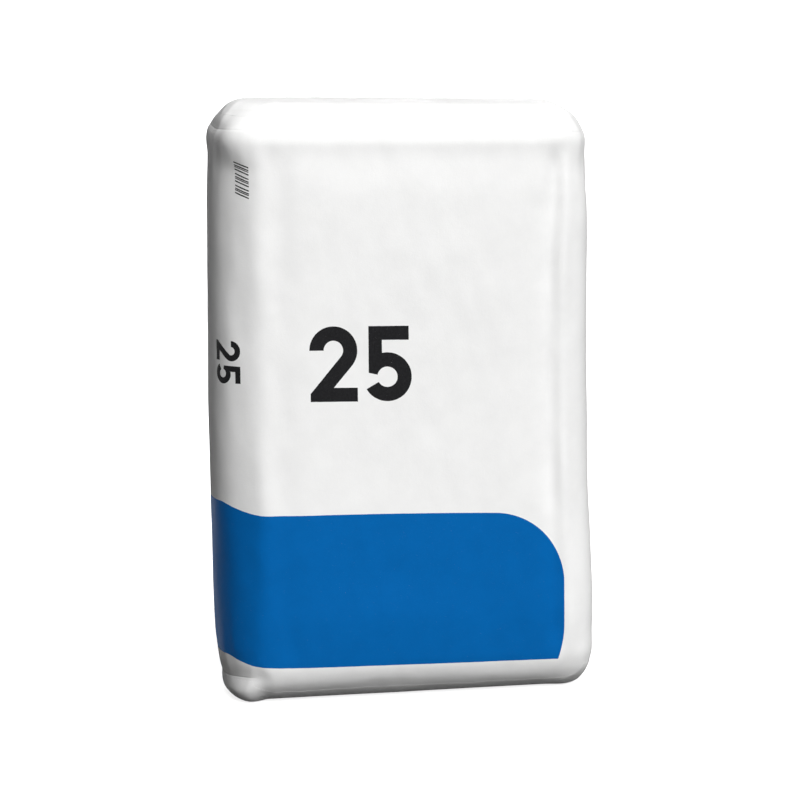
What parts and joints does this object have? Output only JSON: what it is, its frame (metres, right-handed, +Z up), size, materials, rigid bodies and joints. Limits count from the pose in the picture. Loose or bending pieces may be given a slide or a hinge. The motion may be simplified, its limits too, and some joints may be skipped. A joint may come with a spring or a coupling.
{
  "type": "cement bag",
  "caption": "Filled block-bottom paper valve sack of cement, standing on its end, with pasted cover patches over both ends and a valve lip at one top corner.",
  "frame": {"origin": "middle of the flat face that the sack stands on, at floor level", "axes": "+Z up along the sack's length, -Y out of the wide front face, +X to the right of someone who looks at that face"},
  "size_m": [0.36, 0.118, 0.564],
  "materials": {
    "sack_paper": "bleached white sack paper, smooth and slightly calendered, with a blue printed block round its lower part",
    "patch_paper": "bleached white sack paper, matt, pasted over the folded ends",
    "sleeve_paper": "white sack paper without print, matt"
  },
  "bodies": {
    "root": {"sack": "sack_paper", "top_patch": "patch_paper", "bottom_patch": "patch_paper", "valve_sleeve": "sleeve_paper"}
  },
  "joints": []
}
